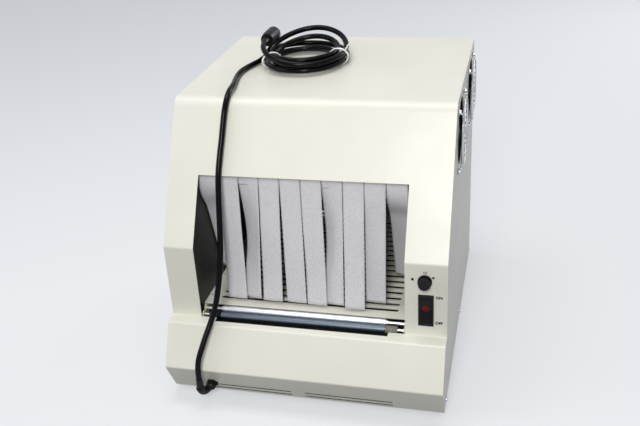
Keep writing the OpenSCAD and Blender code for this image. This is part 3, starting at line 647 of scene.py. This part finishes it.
def make_dial_marks():
    bm = bmesh.new()
    for degrees, r, length, width in DIAL_MARKS:
        a = math.radians(degrees)
        ink_bar(bm, KNOB[0] + r * math.cos(a), KNOB[1] + r * math.sin(a), a, length, width)
    piece("dial_ticks", mesh_from("dial_ticks", bm), "black_plastic", finish="panel_ink")


def label(name, text, up):
    data = bpy.data.curves.new(name, "FONT")
    data.body = text
    data.size = LABEL_SIZE
    data.extrude = 0.00012
    data.offset = 0.00028
    data.align_x = "CENTER"
    data.align_y = "CENTER"
    at = PANEL @ Matrix.Translation((SWITCH[0] + LABEL_OUT, SWITCH[1] + up, 0.0001))
    piece(name, data, "black_plastic", at=at, finish="panel_ink")


make_dial_marks()
label("label_on", "ON", 0.0245)
label("label_off", "OFF", -0.0235)


# ---------- insulation ----------
def make_wool():
    """Lumpy slabs made from the CAD's plain ones. The lumps only go inwards."""
    slabs = link("wool_slabs", nodes["insulation"].data.copy())
    remesh = slabs.modifiers.new("remesh", "REMESH")
    remesh.mode = "VOXEL"
    remesh.voxel_size = 0.008
    clouds = bpy.data.textures.new("wool_lumps", "CLOUDS")
    clouds.noise_scale = 0.03
    lumps = slabs.modifiers.new("lumps", "DISPLACE")
    lumps.texture = clouds
    lumps.texture_coords = "GLOBAL"
    lumps.mid_level = 1.0
    lumps.strength = 0.004
    wool = bpy.data.meshes.new_from_object(slabs.evaluated_get(bpy.context.evaluated_depsgraph_get()))
    slabs.modifiers.clear()
    slabs.data = wool
    finish_all(wool, "mineral_wool")
    for face in wool.polygons:
        face.use_smooth = True
    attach(slabs, "root")
    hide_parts("insulation")


make_wool()

# ---------- stage ----------
FLOOR_HALF = 6
FLOOR_Z = -0.0003


def pale_rays(tree):
    """1 for a ray from the camera or one that it sees in metal or glass, and 0 for one that lights."""
    path = tree.nodes.new("ShaderNodeLightPath")
    fac = path.outputs["Is Camera Ray"]
    for name in ("Is Glossy Ray", "Is Transmission Ray"):
        larger = tree.nodes.new("ShaderNodeMath")
        larger.operation = "MAXIMUM"
        tree.links.new(fac, larger.inputs[0])
        tree.links.new(path.outputs[name], larger.inputs[1])
        fac = larger.outputs[0]
    return fac


def floor_material():
    """Pale, with a glow of its own, where it is seen, and dark where it would light the object."""
    m = Mat("floor_matte", srgb(178, 179, 182), 0.85)
    dark = m.new("BsdfDiffuse", Color=srgb(84, 84, 86))
    glow = m.new("Emission", Color=srgb(234, 236, 240), Strength=0.5)
    pale = m.new("AddShader")
    m.link(m.shader.outputs["BSDF"], pale.inputs[0])
    m.link(glow.outputs["Emission"], pale.inputs[1])
    seen = m.new("MixShader")
    m.link(pale_rays(m.tree), seen.inputs["Fac"])
    m.link(dark.outputs["BSDF"], seen.inputs[1])
    m.link(pale.outputs["Shader"], seen.inputs[2])
    m.link(seen.outputs["Shader"], m.tree.nodes["Material Output"].inputs["Surface"])
    return m.m


def make_floor():
    bm = bmesh.new()
    bmesh.ops.create_grid(bm, x_segments=1, y_segments=1, size=FLOOR_HALF)
    mesh = mesh_from("floor", bm)
    mesh.materials.append(floor_material())
    floor = link("floor", mesh)
    floor.location = (0, 0, FLOOR_Z)


def make_world():
    """A dim world lights the object, and a pale one is seen."""
    world = bpy.data.worlds.new("world")
    scene.world = world
    world.use_nodes = True
    tree = world.node_tree
    dim = tree.nodes["Background"]
    dim.inputs["Color"].default_value = (0.86, 0.93, 1.0, 1)
    dim.inputs["Strength"].default_value = 0.26
    pale = tree.nodes.new("ShaderNodeBackground")
    pale.inputs["Color"].default_value = (0.86, 0.89, 0.95, 1)
    pale.inputs["Strength"].default_value = 0.62
    sky = tree.nodes.new("ShaderNodeMixShader")
    tree.links.new(pale_rays(tree), sky.inputs["Fac"])
    tree.links.new(dim.outputs["Background"], sky.inputs[1])
    tree.links.new(pale.outputs["Background"], sky.inputs[2])
    tree.links.new(sky.outputs["Shader"], tree.nodes["World Output"].inputs["Surface"])


def area(name, at, to, size, power, color):
    data = bpy.data.lights.new(name, "AREA")
    data.shape = "RECTANGLE"
    data.size, data.size_y = size
    data.energy = power
    data.color = color
    lamp = link(name, data)
    lamp.location = at
    lamp.rotation_euler = (Vector(to) - Vector(at)).to_track_quat("-Z", "Y").to_euler()


make_floor()
make_world()
area("key", (0.2, -2.2, 1.8), (0.0, -0.2, 0.25), (0.6, 0.8), 34, (1, 0.985, 0.955))
area("top", (-0.25, 0.1, 2.5), (-0.05, 0.1, 0.3), (0.9, 1.4), 20, (1, 0.985, 0.96))
area("left", (-2.2, -0.9, 1.2), (-0.1, 0, 0.25), (1.2, 1.2), 9, (1, 0.99, 0.97))
area("rear", (1.5, 2.5, 1.5), (0.1, 0.2, 0.25), (1.2, 1.2), 20, (1, 0.99, 0.98))
